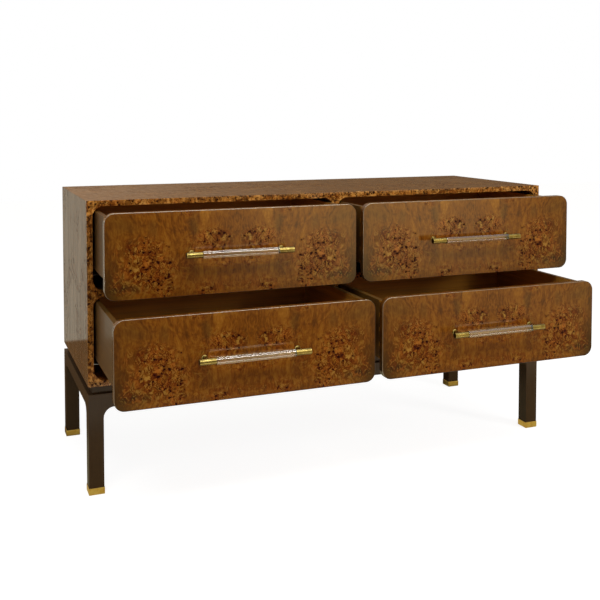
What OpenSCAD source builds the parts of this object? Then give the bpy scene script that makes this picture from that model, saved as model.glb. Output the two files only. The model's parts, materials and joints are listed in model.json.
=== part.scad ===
// Chest of four drawers on a leg frame, with its drawers pulled out as photographed.
// Millimetres. X runs along the width, the fronts face -Y and the feet stand on Z = 0.

/* [Case] */
// Width of the case, which the stand shares
case_w = 1500; // [1300:10:1800]
// Depth of the case, which the stand shares
case_d = 540; // [530:5:640]
// Height of the case above its spacer
case_h = 520; // [460:10:640]
// Thickness of the top, bottom and side panels
panel_t = 16; // [14:1:20]
// Thickness of the centre partition and of the dividers
inner_t = 16; // [12:1:20]
// Thickness of the back panel
back_t = 9; // [6:1:12]
// How far the back panel sits in front of the rear edges
back_inset = 3; // [3:1:6]
// Width of the rabbet round the back panel
rabbet_w = 8; // [6:1:10]

/* [Face frame and fronts] */
// Width of the face frame's stiles and rails
frame_w = 16; // [14:1:24]
// Thickness of the face frame and of the drawer fronts
front_t = 20; // [16:1:24]
// Gap all round a closed drawer front
reveal = 3; // [1:0.5:5]
// Corner radius of the drawer fronts
corner_r = 28; // [10:1:45]

/* [Stand] */
// Height of the leg frame
stand_h = 284; // [200:2:360]
// Side of the square legs
leg_w = 42; // [36:1:60]
// Height of the rails between the legs
rail_h = 39; // [30:1:60]
// Thickness of the rails
rail_t = 40; // [40:1:46]
// Radius under the rail where it turns down into a leg
knee_r = 30; // [10:1:60]
// Height of the recessed spacer between stand and case
spacer_h = 22; // [10:1:40]
// How far the spacer stands in from the faces of the case
spacer_inset = 11; // [4:1:16]
// Width of the spacer's bars
spacer_w = 50; // [40:1:80]
// Height of the brass feet
foot_h = 20; // [14:1:40]
// Wall of the brass feet
foot_wall = 1.2; // [0.8:0.1:3]
// Thickness of metal under each leg
foot_floor = 4; // [2:0.5:8]
// Rounding of a foot's lower edges
foot_r = 3; // [1:0.5:5]

/* [Drawers] */
// How far the upper drawers are pulled out
upper_open = 172; // [0:1:320]
// How far the lower drawers are pulled out
lower_open = 297; // [0:1:320]
// Length of a drawer box behind its front
box_l = 470; // [460:1:480]
// Thickness of the box sides, inner front and back
box_t = 13; // [11:0.5:15]
// Thickness of the box bottom
bottom_t = 6; // [4:0.5:9]
// Depth of the groove that holds the bottom
groove_d = 6; // [4:0.5:8]
// Gap between the bottom's edge and its groove's floor
groove_gap = 0.5; // [0:0.1:1]
// Height of the bottom above the lower edge of the box
bottom_lift = 13; // [12:0.5:20]
// How far the box starts above the lower edge of its front
box_lift = 54; // [30:1:70]
// How far the box ends below the upper edge of its front
box_drop = 11; // [6:1:40]
// Free gap between the box and the case beside it
side_gap = 8; // [5:0.5:12]

/* [Dovetails] */
// Tails at each corner of a box
tail_n = 4; // [3:1:6]
// Width of a pin at the end of the tails
pin_w = 9; // [6:0.5:14]
// Widening of a tail per millimetre of its length
tail_slope = 0.16; // [0.1:0.01:0.2]

/* [Runners] */
// Length of the case runners
runner_l = 450; // [440:5:470]
// Thickness of the runners' steel
runner_t = 1.5; // [1:0.1:2]
// Height of the flange against the case
flange_h = 38; // [30:1:45]
// Width of the drawer's runner channel
channel_w = 26; // [22:1:32]
// Height of the rail in a case runner
rail_tube_h = 14; // [10:1:18]
// Overlap of the channel's lips beside the rail
lip_h = 8; // [4:0.5:9]
// Running gap between rail and channel
run_gap = 0.3; // [0.2:0.05:0.5]
// Gap between the rail and the lower edge of the box
rail_drop = 1; // [0.6:0.1:3]
// Distance of the runners behind the face frame
runner_setback = 2; // [1:0.5:8]

/* [Handles] */
// Distance between the two posts
post_pitch = 256; // [160:1:320]
// Length of the clear rod
rod_l = 216; // [120:1:280]
// Diameter of the clear rod
rod_d = 20; // [16:0.5:26]
// Diameter of the brass ends
sleeve_d = 16; // [13:0.5:19]
// Length of the brass ends
sleeve_l = 44; // [42:1:60]
// Chamfer at the ends of the rod and sleeves
handle_chamfer = 0.8; // [0.2:0.1:1.5]
// Diameter of the posts
post_d = 11; // [8:0.5:14]
// Distance of the rod's axis from the front
handle_proj = 38; // [28:1:50]
// Diameter of the spigot that plugs into the rod
spigot_d = 8; // [5:0.5:10]
// Length of the spigot
spigot_l = 12; // [6:1:20]
// Clearance round a spigot
spigot_gap = 0.1; // [0.05:0.05:0.2]
// Diameter of the handle screws
screw_d = 4; // [3:0.5:5]
// Diameter of the handle screws' heads
screw_head_d = 8; // [7:0.5:10]
// Height of the handle screws' heads
screw_head_h = 2.4; // [2:0.1:3]
// Length of screw inside a post
screw_hold = 12; // [8:1:16]

/* [Stand bolts and back screws] */
// Diameter of the bolts that hold the case to the stand
bolt_d = 6; // [5:0.5:8]
// Diameter of the bolt heads
bolt_head_d = 10; // [9:0.5:11]
// Height of the bolt heads
bolt_head_h = 5; // [4:0.5:6]
// Depth of the counterbores under the bolt heads
counterbore_h = 8; // [6:0.5:12]
// Distance of the bolts from the stand's outer faces
bolt_inset = 30; // [29:0.5:31]
// Length of bolt inside the case's bottom
bolt_hold = 11; // [8:0.5:12]
// Distance of the outer bolts from the ends of the case
bolt_end = 190; // [140:5:300]
// Diameter of the screws in the back panel
back_screw_d = 3.5; // [3:0.5:4]
// Diameter of their heads
back_head_d = 7; // [6:0.5:8]
// Height of their heads
back_head_h = 2.2; // [1.5:0.1:2.8]
// Length of screw inside the panels
back_hold = 12; // [8:1:16]
// Screws along the top and along the bottom
back_screw_n = 6; // [4:1:9]
// Distance of the first screws from the back panel's corners
back_screw_end = 60; // [30:5:120]
// Radial clearance of screws and bolts in their wood
thread_gap = 0.1; // [0.05:0.05:0.2]

/* [Hidden] */
$fn = 64;
over = 1;

// Heights of the case above the floor
case_z = stand_h + spacer_h;
case_top = case_z + case_h;

// One opening of the face frame, and the front that closes it
open_w = (case_w - 3*frame_w)/2;
open_h = (case_h - 3*frame_w)/2;
open_x = (frame_w + open_w)/2;
open_z = [case_z + frame_w + open_h/2, case_z + 2*frame_w + 1.5*open_h];
front_w = open_w - 2*reveal;
front_h = open_h - 2*reveal;

// The drawer box in the right-hand column, from the partition outwards
box_x0 = max(inner_t, frame_w)/2 + side_gap;
box_x1 = case_w/2 - max(panel_t, frame_w) - side_gap;
box_w = box_x1 - box_x0;
box_h = front_h - box_lift - box_drop;
box_mid = (box_x0 + box_x1)/2;

// Space behind the face frame and in front of the back panel
back_y = case_d - back_inset - back_t;
cell_w = case_w/2 - panel_t - inner_t/2;

// The rail of a case runner inside the drawer's channel
rail_tube_w = channel_w - 2*(runner_t + run_gap);
channel_x = box_t + channel_w/2 + over;
channel_h = bottom_lift + rail_drop - run_gap;

// Drawers by column and row: column -1 is left and row 1 is the upper one
DRAWERS = [
    ["upper_left", -1, 1],
    ["upper_right", 1, 1],
    ["lower_left", -1, 0],
    ["lower_right", 1, 0],
];
DRAWER_PIECES = ["front", "box_front", "box_left", "box_right", "box_back", "box_bottom",
    "handle_ends", "handle_rod", "runners"];
CASE_PIECES = ["case_top", "case_bottom", "left_side", "right_side", "back_panel", "face_frame",
    "centre_partition", "left_divider", "right_divider", "left_tracks", "right_tracks",
    "back_screws"];
STAND_PIECES = ["spacer_frame", "front_rail", "back_rail", "left_rail", "right_rail",
    "front_left_leg", "front_right_leg", "back_left_leg", "back_right_leg",
    "brass_feet", "stand_bolts"];

// Corners of the stand with the turn that points a leg's knees along the rails
LEGS = [
    ["front_left", [-case_w/2, 0], 0],
    ["front_right", [case_w/2, 0], 90],
    ["back_right", [case_w/2, case_d], 180],
    ["back_left", [-case_w/2, case_d], 270],
];

// The whole model stands centred over its own footprint
front_most = -(max(upper_open, lower_open) + handle_proj + rod_d/2);
back_most = case_d + foot_wall;
shift_y = -(front_most + back_most)/2;

burl = "#8a5a26";
veneer = "#6b4526";
box_wood = "#5a3d22";
espresso = "#38281a";
brass = "#c8a24a";
clear = "#e6e2d8";
steel = "#9a9c9e";

module placed() translate([0, shift_y, 0]) children();

// A plate of thickness t whose outline is drawn in X and Z
module slab_xz(y, t) translate([0, y + t, 0]) rotate([90, 0, 0]) linear_extrude(t) children();

// A plate of thickness t whose outline is drawn in Y and Z
module slab_yz(x, t) translate([x, 0, 0]) rotate([90, 0, 90]) linear_extrude(t) children();

module rounded_rect(w, h, r) {
    square([w, h - 2*r], center = true);
    square([w - 2*r, h], center = true);
    for (x = [-1, 1], y = [-1, 1]) translate([x*(w/2 - r), y*(h/2 - r)]) circle(r);
}

// The case's panels meet in mitres, each drawn as the top one and turned about the middle
module mitred_panel(turn, length, reach) {
    difference() {
        slab_xz(front_t, case_d - front_t)
            translate([0, case_z + case_h/2]) rotate(turn)
                polygon([[-length/2, reach], [length/2, reach],
                    [length/2 - panel_t, reach - panel_t], [-length/2 + panel_t, reach - panel_t]]);
        back_blank(back_t + back_inset + over, 0);
        back_holes(back_hold + back_t, thread_gap);
    }
}

// The back panel, grown towards the rear for the rabbet that takes it
module back_blank(t, slack) {
    w = case_w - 2*(panel_t - rabbet_w + slack);
    h = case_h - 2*(panel_t - rabbet_w + slack);
    translate([-w/2, back_y, case_z + case_h/2 - h/2]) cube([w, t, h]);
}

// Places of the back panel's screws: along the top and bottom, up the sides and on the partition
land = panel_t - rabbet_w/2;
screw_span = case_w - 2*(panel_t - rabbet_w + back_screw_end);
BACK_SCREWS = concat(
    [for (i = [0 : back_screw_n - 1], z = [case_z + land, case_top - land])
        [-screw_span/2 + i*screw_span/(back_screw_n - 1), z]],
    [for (x = [-1, 1], z = open_z) [x*(case_w/2 - land), z]],
    [for (z = open_z) [0, z]]);

module back_holes(depth, slack)
    for (p = BACK_SCREWS)
        translate([p[0], case_d - back_inset, p[1]]) rotate([90, 0, 0])
            translate([0, 0, -over]) cylinder(h = depth + over, d = back_screw_d + 2*slack);

module back_screws() placed() color(steel)
    for (p = BACK_SCREWS) translate([p[0], case_d - back_inset, p[1]]) rotate([90, 0, 0]) {
        cylinder(h = back_t + back_hold - over, d = back_screw_d);
        translate([0, 0, -back_head_h]) cylinder(h = back_head_h, d = back_head_d);
    }

module case_top() placed() color(veneer) mitred_panel(0, case_w, case_h/2);

module case_bottom() placed() color(veneer) difference() {
    mitred_panel(180, case_w, case_h/2);
    stand_bolt_holes(case_z - over, bolt_hold + 2*over, bolt_d + 2*thread_gap);
}

module left_side() placed() color(veneer) mitred_panel(90, case_h, case_w/2);

module right_side() placed() color(veneer) mitred_panel(-90, case_h, case_w/2);

module back_panel() placed() color(veneer) difference() {
    back_blank(back_t, 0);
    back_holes(back_t + 2*over, thread_gap);
}

module opening(slack) rounded_rect(open_w - 2*slack, open_h - 2*slack, corner_r + reveal - slack);

module face_frame() placed() color(burl) slab_xz(0, front_t) difference() {
    translate([-case_w/2, case_z]) square([case_w, case_h]);
    for (x = [-open_x, open_x], z = open_z) translate([x, z]) opening(0);
}

module centre_partition() placed() color(veneer) difference() {
    translate([-inner_t/2, front_t, case_z + panel_t])
        cube([inner_t, back_y - front_t, case_h - 2*panel_t]);
    back_holes(back_hold + back_t, thread_gap);
}

module divider(side) placed() color(veneer)
    translate([side*(inner_t + cell_w)/2 - cell_w/2, front_t, case_z + case_h/2 - inner_t/2])
        cube([cell_w, back_y - front_t, inner_t]);

// Stand bolts stand in from the rails' outer faces, three along each long rail and one in each end
bolt_x = case_w/2 - bolt_end;
BOLTS = concat(
    [for (x = [-bolt_x, 0, bolt_x], y = [bolt_inset, case_d - bolt_inset]) [x, y]],
    [for (x = [-1, 1]) [x*(case_w/2 - bolt_inset), case_d/2]]);

module stand_bolt_holes(z, h, d)
    for (p = BOLTS) translate([p[0], p[1], z]) cylinder(h = h, d = d);

module stand_bolts() placed() color(steel)
    for (p = BOLTS) translate([p[0], p[1], stand_h - rail_h + counterbore_h]) {
        translate([0, 0, -bolt_head_h]) cylinder(h = bolt_head_h, d = bolt_head_d);
        cylinder(h = rail_h - counterbore_h + spacer_h + bolt_hold, d = bolt_d);
    }

module rail_holes() {
    stand_bolt_holes(stand_h - rail_h - over, rail_h + 2*over, bolt_d + 2*thread_gap);
    stand_bolt_holes(stand_h - rail_h - over, counterbore_h + over, bolt_head_d + 2);
}

module spacer_frame() placed() color(espresso) difference() {
    w = case_w - 2*spacer_inset;
    d = case_d - 2*spacer_inset;
    translate([-w/2, spacer_inset, stand_h]) cube([w, d, spacer_h]);
    translate([-w/2 + spacer_w, spacer_inset + spacer_w, stand_h - over])
        cube([w - 2*spacer_w, d - 2*spacer_w, spacer_h + 2*over]);
    stand_bolt_holes(stand_h - over, spacer_h + 2*over, bolt_d + 2*thread_gap);
}

long_rail = case_w - 2*(leg_w + knee_r);
short_rail = case_d - 2*(leg_w + knee_r);

module long_rail(y) placed() color(espresso) difference() {
    translate([-long_rail/2, y, stand_h - rail_h]) cube([long_rail, rail_t, rail_h]);
    rail_holes();
}

module short_rail(x) placed() color(espresso) difference() {
    translate([x, (case_d - short_rail)/2, stand_h - rail_h]) cube([rail_t, short_rail, rail_h]);
    rail_holes();
}

// The curved knee that a leg carries on to the rail, drawn from the leg's outer edge
module knee() difference() {
    translate([leg_w/2, stand_h - rail_h - knee_r]) square([leg_w/2 + knee_r, rail_h + knee_r]);
    translate([leg_w + knee_r, stand_h - rail_h - knee_r]) circle(knee_r);
}

module leg(corner, turn) placed() color(espresso) translate(corner) rotate(turn) {
    translate([0, 0, foot_floor]) cube([leg_w, leg_w, stand_h - foot_floor]);
    slab_xz(0, rail_t) knee();
    slab_yz(0, rail_t) knee();
}

// A foot's side outline, rounded along its lower edges
module foot_outline() {
    w = leg_w + 2*foot_wall;
    translate([-foot_wall, foot_r]) square([w, foot_h - foot_r]);
    translate([foot_r - foot_wall, 0]) square([w - 2*foot_r, foot_h]);
    for (x = [foot_r - foot_wall, leg_w + foot_wall - foot_r]) translate([x, foot_r]) circle(foot_r);
}

module brass_feet() placed() color(brass)
    for (leg = LEGS) translate(leg[1]) rotate(leg[2]) difference() {
        intersection() {
            slab_xz(-foot_wall, leg_w + 2*foot_wall) foot_outline();
            slab_yz(-foot_wall, leg_w + 2*foot_wall) foot_outline();
        }
        translate([0, 0, foot_floor]) cube([leg_w, leg_w, foot_h]);
    }

// How far a drawer is pulled out, and the lower edge of its box
function pull(row) = row == 1 ? upper_open : lower_open;
function box_z(row) = open_z[row] - front_h/2 + box_lift;

// Moves a piece drawn closed to the place of its drawer at rest
module pulled(row) translate([0, -pull(row), 0]) placed() children();

// Ends of a box side: tails from the end at 0 to their root at box_t
module tails(past) {
    pitch = box_h/tail_n;
    wide = (pitch - pin_w)/2;
    root = wide - box_t*tail_slope;
    for (i = [0 : tail_n - 1]) translate([0, (i + 0.5)*pitch])
        polygon([[-past, -wide - past*tail_slope], [-past, wide + past*tail_slope],
            [box_t, root], [box_t + over, root], [box_t + over, -root], [box_t, -root]]);
}

module tail_ends(past) {
    tails(past);
    translate([box_l, 0]) mirror([1, 0]) tails(past);
}

// The space of the box bottom, less slack where it stops short of its grooves
module bottom_blank(col, row, slack) {
    inset = box_t - groove_d + slack;
    translate([col*box_mid - box_w/2 + inset, front_t + inset, box_z(row) + bottom_lift])
        cube([box_w - 2*inset, box_l - 2*inset, bottom_t]);
}

module drawer_side(col, row, hand) pulled(row) color(box_wood) difference() {
    slab_yz(col*box_mid + hand*(box_w - box_t)/2 - box_t/2, box_t) translate([front_t, box_z(row)]) {
        translate([box_t, 0]) square([box_l - 2*box_t, box_h]);
        tail_ends(0);
    }
    bottom_blank(col, row, 0);
}

// The inner front or the back of a box: its ends are the pins between the tails
module drawer_end(col, row, y) pulled(row) color(box_wood) difference() {
    translate([col*box_mid - box_w/2, y, box_z(row)]) cube([box_w, box_t, box_h]);
    for (x = [-box_w/2 - over, box_w/2 - box_t])
        slab_yz(col*box_mid + x, box_t + over) translate([front_t, box_z(row)]) tail_ends(over);
    bottom_blank(col, row, 0);
    handle_holes(col, row);
}

module drawer_bottom(col, row) pulled(row) color(box_wood) bottom_blank(col, row, groove_gap);

module drawer_front(col, row) pulled(row) color(burl) difference() {
    slab_xz(0, front_t) translate([col*open_x, open_z[row]]) opening(reveal);
    handle_holes(col, row);
}

// Clearance holes of the handle screws through the front and the inner front
module handle_holes(col, row)
    for (x = [-post_pitch/2, post_pitch/2])
        translate([col*open_x + x, -over, open_z[row]]) rotate([-90, 0, 0])
            cylinder(h = front_t + box_t + 2*over, d = screw_d + 4*thread_gap);

// One brass end, drawn on the right: a sleeve with its spigot, and the post behind it
module handle_end() {
    c = handle_chamfer;
    r = sleeve_d/2;
    translate([0, -handle_proj, 0]) rotate([0, 90, 0]) rotate_extrude()
        polygon([[0, rod_l/2 - spigot_l], [spigot_d/2, rod_l/2 - spigot_l], [spigot_d/2, rod_l/2],
            [r, rod_l/2], [r, rod_l/2 + sleeve_l - c], [r - c, rod_l/2 + sleeve_l],
            [0, rod_l/2 + sleeve_l]]);
    translate([post_pitch/2, 0, 0]) rotate([90, 0, 0]) cylinder(h = handle_proj, d = post_d);
}

module handle_screw() translate([post_pitch/2, 0, 0]) rotate([90, 0, 0]) {
    translate([0, 0, -front_t - box_t]) cylinder(h = front_t + box_t + screw_hold, d = screw_d);
    translate([0, 0, -front_t - box_t - screw_head_h]) cylinder(h = screw_head_h, d = screw_head_d);
}

module handle_ends(col, row) pulled(row) color(brass)
    for (turn = [0, 1]) translate([col*open_x, 0, open_z[row]]) mirror([turn, 0, 0]) {
        difference() {
            handle_end();
            translate([post_pitch/2, over, 0]) rotate([90, 0, 0])
                cylinder(h = screw_hold + 2*over, d = screw_d + 2*thread_gap);
        }
        handle_screw();
    }

module handle_rod(col, row) pulled(row) color(clear)
    translate([col*open_x - rod_l/2, -handle_proj, open_z[row]]) rotate([0, 90, 0]) difference() {
        c = handle_chamfer;
        r = rod_d/2;
        rotate_extrude()
            polygon([[0, 0], [r - c, 0], [r, c], [r, rod_l - c], [r - c, rod_l], [0, rod_l]]);
        for (z = [-over, rod_l - spigot_l - spigot_gap]) translate([0, 0, z])
            cylinder(h = spigot_l + spigot_gap + over, d = spigot_d + 2*spigot_gap);
    }

// The pair of steel channels under a box, each riding over the rail of a case runner
module drawer_runners(col, row) pulled(row) color(steel)
    for (hand = [-1, 1]) {
        x = col*box_mid + hand*(box_w/2 - channel_x);
        t = runner_t;
        z = box_z(row) + bottom_lift;
        slot = lip_h + channel_h;
        slab = box_l - 2*box_t;
        translate([x, front_t + box_t, z]) difference() {
            translate([-channel_w/2, 0, -slot]) cube([channel_w, slab, slot]);
            translate([-channel_w/2 + t, -over, -slot - over])
                cube([channel_w - 2*t, slab + 2*over, lip_h + over]);
            translate([-channel_w/2 + t, -over, -channel_h + t])
                cube([channel_w - 2*t, slab + 2*over, channel_h - 2*t]);
        }
    }

// One case runner, drawn for a wall on its left at x = 0, as high as the box above it
module case_runner(reach) {
    t = runner_t;
    z = -rail_drop - rail_tube_h;
    w = rail_tube_w;
    translate([0, 0, z - t]) cube([t, runner_l, flange_h]);
    translate([0, 0, z - t]) cube([reach + w/2, runner_l, t]);
    translate([reach - w/2, 0, z - t]) difference() {
        cube([w, runner_l, rail_tube_h + t]);
        translate([t, -over, t]) cube([w - 2*t, runner_l + 2*over, rail_tube_h - t]);
    }
}

// The case runners of one column, two for each drawer
module tracks(col) placed() color(steel)
    for (row = [0, 1], out = [0, 1]) {
        wall = out == 1 ? case_w/2 - panel_t : inner_t/2;
        edge = out == 1 ? box_x1 - channel_x : box_x0 + channel_x;
        side = out == 1 ? -col : col;
        translate([col*wall, front_t + runner_setback, box_z(row)])
            mirror([side == 1 ? 0 : 1, 0, 0]) case_runner(abs(edge - wall));
    }

case_top();
case_bottom();
left_side();
right_side();
back_panel();
face_frame();
centre_partition();
divider(-1);  // left_divider
divider(1);  // right_divider
tracks(-1);  // left_tracks
tracks(1);  // right_tracks
back_screws();
spacer_frame();
long_rail(0);  // front_rail
long_rail(case_d - rail_t);  // back_rail
short_rail(-case_w/2);  // left_rail
short_rail(case_w/2 - rail_t);  // right_rail
for (l = LEGS) leg(l[1], l[2]);
brass_feet();
stand_bolts();
for (d = DRAWERS) {
    drawer_front(d[1], d[2]);
    drawer_end(d[1], d[2], front_t);
    drawer_side(d[1], d[2], -1);
    drawer_side(d[1], d[2], 1);
    drawer_end(d[1], d[2], front_t + box_l - box_t);
    drawer_bottom(d[1], d[2]);
    handle_ends(d[1], d[2]);
    handle_rod(d[1], d[2]);
    drawer_runners(d[1], d[2]);
}
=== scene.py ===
"""Looks of a burl-veneered chest of four drawers that stands open on a dark leg frame."""

import json
import logging
import math
from dataclasses import dataclass
from enum import Enum
from functools import reduce
from typing import Any, Callable, Iterable, Mapping, Sequence

import bmesh
import bpy
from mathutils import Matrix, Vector

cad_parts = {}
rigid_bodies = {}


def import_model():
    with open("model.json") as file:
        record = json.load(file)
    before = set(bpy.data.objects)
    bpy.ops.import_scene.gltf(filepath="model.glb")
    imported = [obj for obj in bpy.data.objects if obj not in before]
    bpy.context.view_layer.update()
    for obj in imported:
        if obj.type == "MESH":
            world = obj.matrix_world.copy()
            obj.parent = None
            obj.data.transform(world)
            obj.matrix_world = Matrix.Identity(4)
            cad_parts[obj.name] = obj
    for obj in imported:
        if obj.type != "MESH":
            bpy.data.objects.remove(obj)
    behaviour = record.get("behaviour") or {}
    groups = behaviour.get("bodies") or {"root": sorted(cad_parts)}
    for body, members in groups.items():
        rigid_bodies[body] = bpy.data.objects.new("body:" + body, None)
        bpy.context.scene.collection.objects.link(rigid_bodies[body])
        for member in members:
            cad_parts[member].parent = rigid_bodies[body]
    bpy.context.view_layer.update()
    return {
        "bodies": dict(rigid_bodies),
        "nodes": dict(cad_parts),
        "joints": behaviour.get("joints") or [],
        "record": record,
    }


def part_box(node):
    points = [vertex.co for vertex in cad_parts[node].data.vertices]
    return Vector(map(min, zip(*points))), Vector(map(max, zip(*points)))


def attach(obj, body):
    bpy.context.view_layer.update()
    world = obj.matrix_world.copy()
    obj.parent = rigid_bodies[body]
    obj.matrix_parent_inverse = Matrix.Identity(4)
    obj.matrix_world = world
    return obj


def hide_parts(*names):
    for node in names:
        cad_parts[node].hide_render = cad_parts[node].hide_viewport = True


LOG = logging.getLogger("chest")
MM = 0.001
# Shifts the grain's noise to one side
ASIDE = 3.0
# Edges that bend by more than this stay sharp
SHARP = math.radians(38)
# A turned profile's smaller radii are points on its axis
ON_AXIS = 1e-7

Colour = tuple[float, float, float]
Point = tuple[float, float]
Place = tuple[float, float, float]
Stops = Sequence[tuple[float, Colour]]
Sockets = dict[int | str, Any]
Material = bpy.types.Material
Piece = bpy.types.Object
Mesh = bmesh.types.BMesh


def tone(red: int, green: int, blue: int) -> Colour:
    """A display colour as the linear values that shaders take.

    Args:
        red: Red, 0 to 255.
        green: Green, 0 to 255.
        blue: Blue, 0 to 255.

    Returns:
        The three linear values.
    """

    def linear(level: int) -> float:
        """One display level as a linear value."""
        part = level / 255
        return part / 12.92 if part <= 0.04045 else ((part + 0.055) / 1.055) ** 2.4

    return linear(red), linear(green), linear(blue)


class Wire:
    """An output socket of a node. Python's operators on it add the nodes that they stand for."""

    def __init__(self, bench: "Bench", socket: bpy.types.NodeSocket) -> None:
        """Wraps a socket.

        Args:
            bench: The node tree that the socket belongs to.
            socket: The output socket.
        """
        self.bench = bench
        self.socket = socket

    @property
    def is_vector(self) -> bool:
        """Whether the socket carries a vector."""
        return self.socket.type == "VECTOR"

    def _join(self, operation: str, *terms: Any) -> "Wire":
        """Adds a Math node, or a Vector Math node where any term is a vector.

        Args:
            operation: Blender's name of the operation.
            terms: Wires, numbers or triples, in the order of the node's sockets.

        Returns:
            The node's result.
        """
        vector = any(isinstance(t, Wire) and t.is_vector for t in terms)
        kind = "ShaderNodeVectorMath" if vector else "ShaderNodeMath"
        if vector:
            terms = tuple((t,) * 3 if isinstance(t, (int, float)) else t for t in terms)
        return self.bench.add(kind, {"operation": operation}, dict(enumerate(terms)))[0]

    def __add__(self, other: Any) -> "Wire":
        """Sum of this and another term."""
        return self._join("ADD", self, other)

    def __radd__(self, other: Any) -> "Wire":
        """Sum of another term and this."""
        return self._join("ADD", other, self)

    def __sub__(self, other: Any) -> "Wire":
        """Difference of this and another term."""
        return self._join("SUBTRACT", self, other)

    def __rsub__(self, other: Any) -> "Wire":
        """Difference of another term and this."""
        return self._join("SUBTRACT", other, self)

    def __mul__(self, other: Any) -> "Wire":
        """Product of this and another term."""
        return self._join("MULTIPLY", self, other)

    def __rmul__(self, other: Any) -> "Wire":
        """Product of another term and this."""
        return self._join("MULTIPLY", other, self)

    def __truediv__(self, other: Any) -> "Wire":
        """Quotient of this and another term."""
        return self._join("DIVIDE", self, other)

    def __rtruediv__(self, other: Any) -> "Wire":
        """Quotient of another term and this."""
        return self._join("DIVIDE", other, self)

    def __abs__(self) -> "Wire":
        """Magnitude of this."""
        return self._join("ABSOLUTE", self)

    def sine(self) -> "Wire":
        """Sine of this."""
        return self._join("SINE", self)

    def at_least(self, other: Any) -> "Wire":
        """The larger of this and another term."""
        return self._join("MAXIMUM", self, other)

    def at_most(self, other: Any) -> "Wire":
        """The smaller of this and another term."""
        return self._join("MINIMUM", self, other)

    def clipped(self) -> "Wire":
        """This held between 0 and 1."""
        return self.at_least(0.0).at_most(1.0)

    def length(self) -> "Wire":
        """Length of this vector."""
        return self.bench.add("ShaderNodeVectorMath", {"operation": "LENGTH"}, {0: self})["Value"]

    def parts(self) -> tuple["Wire", "Wire", "Wire"]:
        """The three components of this vector."""
        split = self.bench.add("ShaderNodeSeparateXYZ", {}, {0: self})
        return split[0], split[1], split[2]

    def rise(self, low: float, high: float) -> "Wire":
        """A smooth step.

        Args:
            low: Where it is 0; it may be the larger of the two.
            high: Where it is 1.

        Returns:
            The step's height, from 0 to 1.
        """
        sockets: Sockets = {"Value": self, "From Min": min(low, high), "From Max": max(low, high)}
        if low > high:
            sockets |= {"To Min": 1.0, "To Max": 0.0}
        return self.bench.add("ShaderNodeMapRange", {"interpolation_type": "SMOOTHSTEP"}, sockets)[0]


class Fitting:
    """A node on the bench; indexing it gives its outputs as wires."""

    def __init__(self, bench: "Bench", node: bpy.types.Node) -> None:
        """Wraps a node.

        Args:
            bench: The node tree that the node belongs to.
            node: The node.
        """
        self.bench = bench
        self.node = node

    def __getitem__(self, key: int | str) -> Wire:
        """The output of that number or name."""
        return Wire(self.bench, self.node.outputs[key])


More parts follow.
